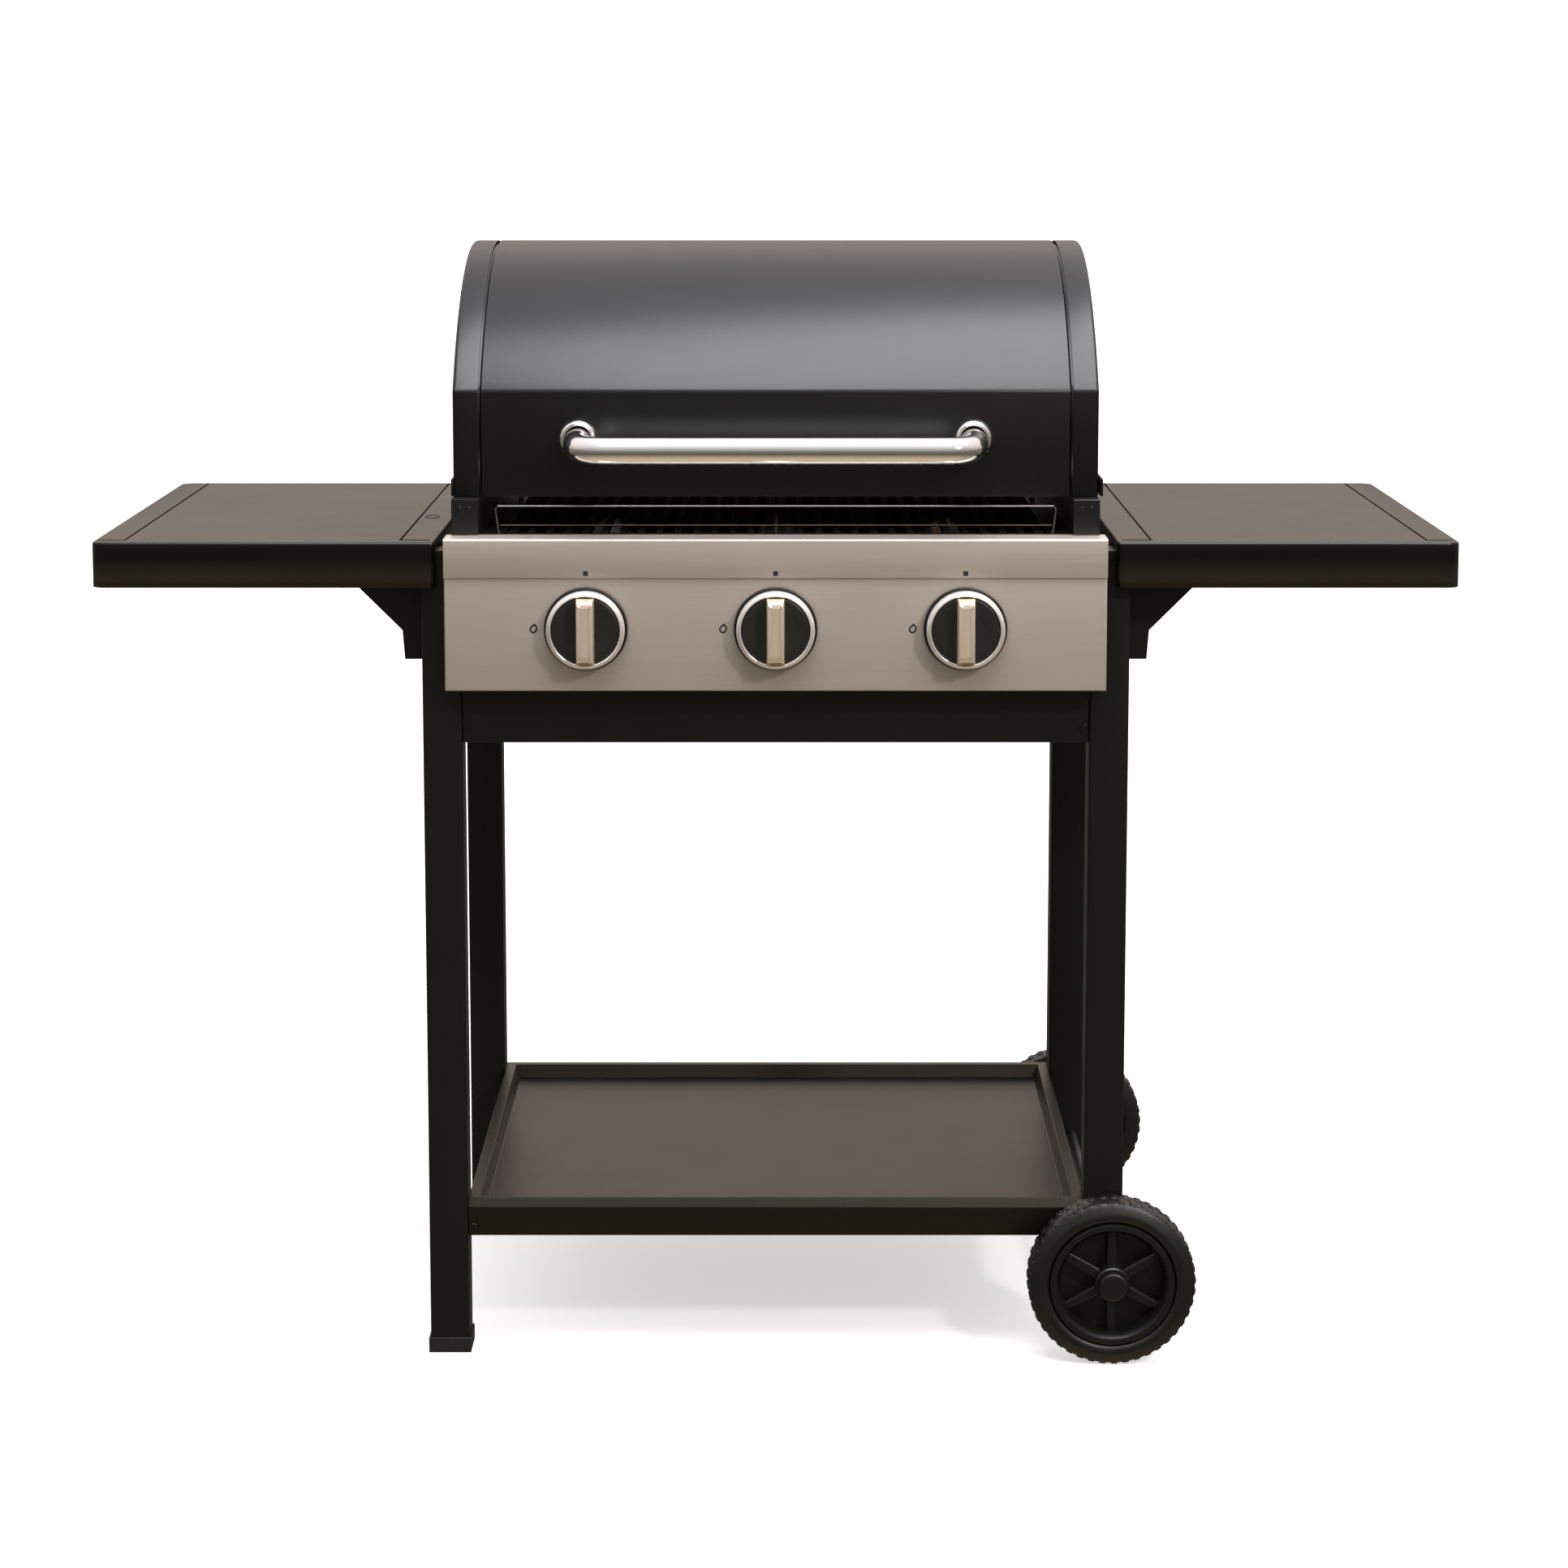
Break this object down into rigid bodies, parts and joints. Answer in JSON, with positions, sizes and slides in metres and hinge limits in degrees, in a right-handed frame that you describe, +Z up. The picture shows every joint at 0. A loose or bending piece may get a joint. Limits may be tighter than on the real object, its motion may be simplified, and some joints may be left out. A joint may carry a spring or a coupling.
{
  "type": "gas barbecue grill",
  "caption": "Gas barbecue grill on a wheeled cart, with a barrel hood, control panel with knobs, folding side tables, a bottom shelf and a pull-out grease tray.",
  "frame": {"origin": "floor level, middle of the overall width and depth", "axes": "+X to the cook's right along the width, +Y from the cook to the back, +Z up"},
  "size_m": [1.196, 0.5586, 0.9906],
  "materials": {
    "frame_paint": "black powder coat, fine satin",
    "shelf_paint": "dark brown-black satin paint",
    "table_paint": "dark satin paint with a slight warm sheen",
    "trim_paint": "dark satin paint",
    "hood_paint": "charcoal satin enamel",
    "side_paint": "black heat-proof paint on cast aluminium",
    "panel_steel": "horizontally brushed stainless steel",
    "chrome": "polished chrome",
    "knob_black": "black heat-proof plastic, satin",
    "knob_metal": "satin plated metal",
    "bezel_black": "black plastic, satin",
    "wheel_plastic": "black moulded plastic",
    "tyre_rubber": "black rubber with moulded tread",
    "foot_plastic": "black moulded plastic",
    "tub_steel": "black enamelled sheet steel",
    "grate_iron": "matt enamelled cast iron",
    "rack_wire": "plated wire",
    "burner_steel": "plain stainless tube",
    "gas_brass": "machined brass",
    "gas_pipe": "plated steel pipe",
    "zinc_steel": "zinc-plated sheet steel",
    "screw_black": "blackened steel",
    "ceramic": "glazed ceramic"
  },
  "bodies": {
    "cart": {"leg_front_left": "frame_paint", "leg_front_right": "frame_paint", "leg_rear_left": "frame_paint", "leg_rear_right": "frame_paint", "front_rail": "frame_paint", "rear_rail": "frame_paint", "side_rail_left": "frame_paint", "side_rail_right": "frame_paint", "foot_caps": "foot_plastic", "bottom_shelf": "shelf_paint", "axle": "zinc_steel", "axle_nuts": "wheel_plastic", "frame_screws": "screw_black", "firebox": "tub_steel", "firebox_side_left": "side_paint", "firebox_side_right": "side_paint", "hinge_pins": "zinc_steel", "post_rivets": "screw_black", "control_panel": "panel_steel", "panel_cap": "panel_steel", "knob_bezels": "bezel_black", "gas_manifold": "gas_pipe", "gas_inlet": "gas_pipe", "gas_valves": "gas_brass", "igniters": "ceramic", "burner_left": "burner_steel", "burner_middle": "burner_steel", "burner_right": "burner_steel", "heat_tents": "burner_steel", "cooking_grate_left": "grate_iron", "cooking_grate_right": "grate_iron", "warming_rack": "rack_wire", "tray_runners": "zinc_steel", "pivot_studs": "zinc_steel"},
    "hood": {"hood_shell": "hood_paint", "hood_end_left": "hood_paint", "hood_end_right": "hood_paint", "hood_handle": "chrome", "handle_ferrules": "chrome", "handle_screws": "zinc_steel"},
    "side_table_left": {"table_left": "table_paint", "table_trims_left": "trim_paint", "table_brackets_left": "frame_paint"},
    "side_table_right": {"table_right": "table_paint", "table_trims_right": "trim_paint", "table_brackets_right": "frame_paint"},
    "valve_stem_left": {"knob_stem_left": "gas_brass"},
    "control_knob_left": {"knob_left": "knob_black", "knob_trim_left": "knob_metal"},
    "valve_stem_middle": {"knob_stem_middle": "gas_brass"},
    "control_knob_middle": {"knob_middle": "knob_black", "knob_trim_middle": "knob_metal"},
    "valve_stem_right": {"knob_stem_right": "gas_brass"},
    "control_knob_right": {"knob_right": "knob_black", "knob_trim_right": "knob_metal"},
    "wheel_front": {"rim_front": "wheel_plastic", "tyre_front": "tyre_rubber"},
    "wheel_rear": {"rim_rear": "wheel_plastic", "tyre_rear": "tyre_rubber"},
    "grease_drawer": {"grease_tray": "zinc_steel"}
  },
  "joints": [
    {"name": "hood_hinge", "type": "hinge", "parent": "cart", "child": "hood", "pos_m": [0, 0.24775, 0.768], "axis": [-1, 0, 0], "range_deg": [0, 90]},
    {"name": "table_left_fold", "type": "hinge", "parent": "cart", "child": "side_table_left", "pos_m": [-0.3, 0.00775, 0.68], "axis": [0, -1, 0], "range_deg": [0, 90]},
    {"name": "table_right_fold", "type": "hinge", "parent": "cart", "child": "side_table_right", "pos_m": [0.3, 0.00775, 0.68], "axis": [0, 1, 0], "range_deg": [0, 90]},
    {"name": "knob_left_push", "type": "slide", "parent": "cart", "child": "valve_stem_left", "axis": [0, 1, 0], "range_m": [0, 0.004], "stiffness_N_per_m": 900},
    {"name": "knob_left_turn", "type": "hinge", "parent": "valve_stem_left", "child": "control_knob_left", "pos_m": [-0.165, -0.25725, 0.6655], "axis": [0, -1, 0], "range_deg": [0, 180]},
    {"name": "knob_middle_push", "type": "slide", "parent": "cart", "child": "valve_stem_middle", "axis": [0, 1, 0], "range_m": [0, 0.004], "stiffness_N_per_m": 900},
    {"name": "knob_middle_turn", "type": "hinge", "parent": "valve_stem_middle", "child": "control_knob_middle", "pos_m": [0, -0.25725, 0.6655], "axis": [0, -1, 0], "range_deg": [0, 180]},
    {"name": "knob_right_push", "type": "slide", "parent": "cart", "child": "valve_stem_right", "axis": [0, 1, 0], "range_m": [0, 0.004], "stiffness_N_per_m": 900},
    {"name": "knob_right_turn", "type": "hinge", "parent": "valve_stem_right", "child": "control_knob_right", "pos_m": [0.165, -0.25725, 0.6655], "axis": [0, -1, 0], "range_deg": [0, 180]},
    {"name": "wheel_front_spin", "type": "hinge", "parent": "cart", "child": "wheel_front", "pos_m": [0.3, -0.23805, 0.075], "axis": [0, 1, 0], "continuous": true},
    {"name": "wheel_rear_spin", "type": "hinge", "parent": "cart", "child": "wheel_rear", "pos_m": [0.3, 0.25355, 0.075], "axis": [0, 1, 0], "continuous": true},
    {"name": "grease_tray_slide", "type": "slide", "parent": "cart", "child": "grease_drawer", "axis": [0, 1, 0], "range_m": [0, 0.3]}
  ]
}
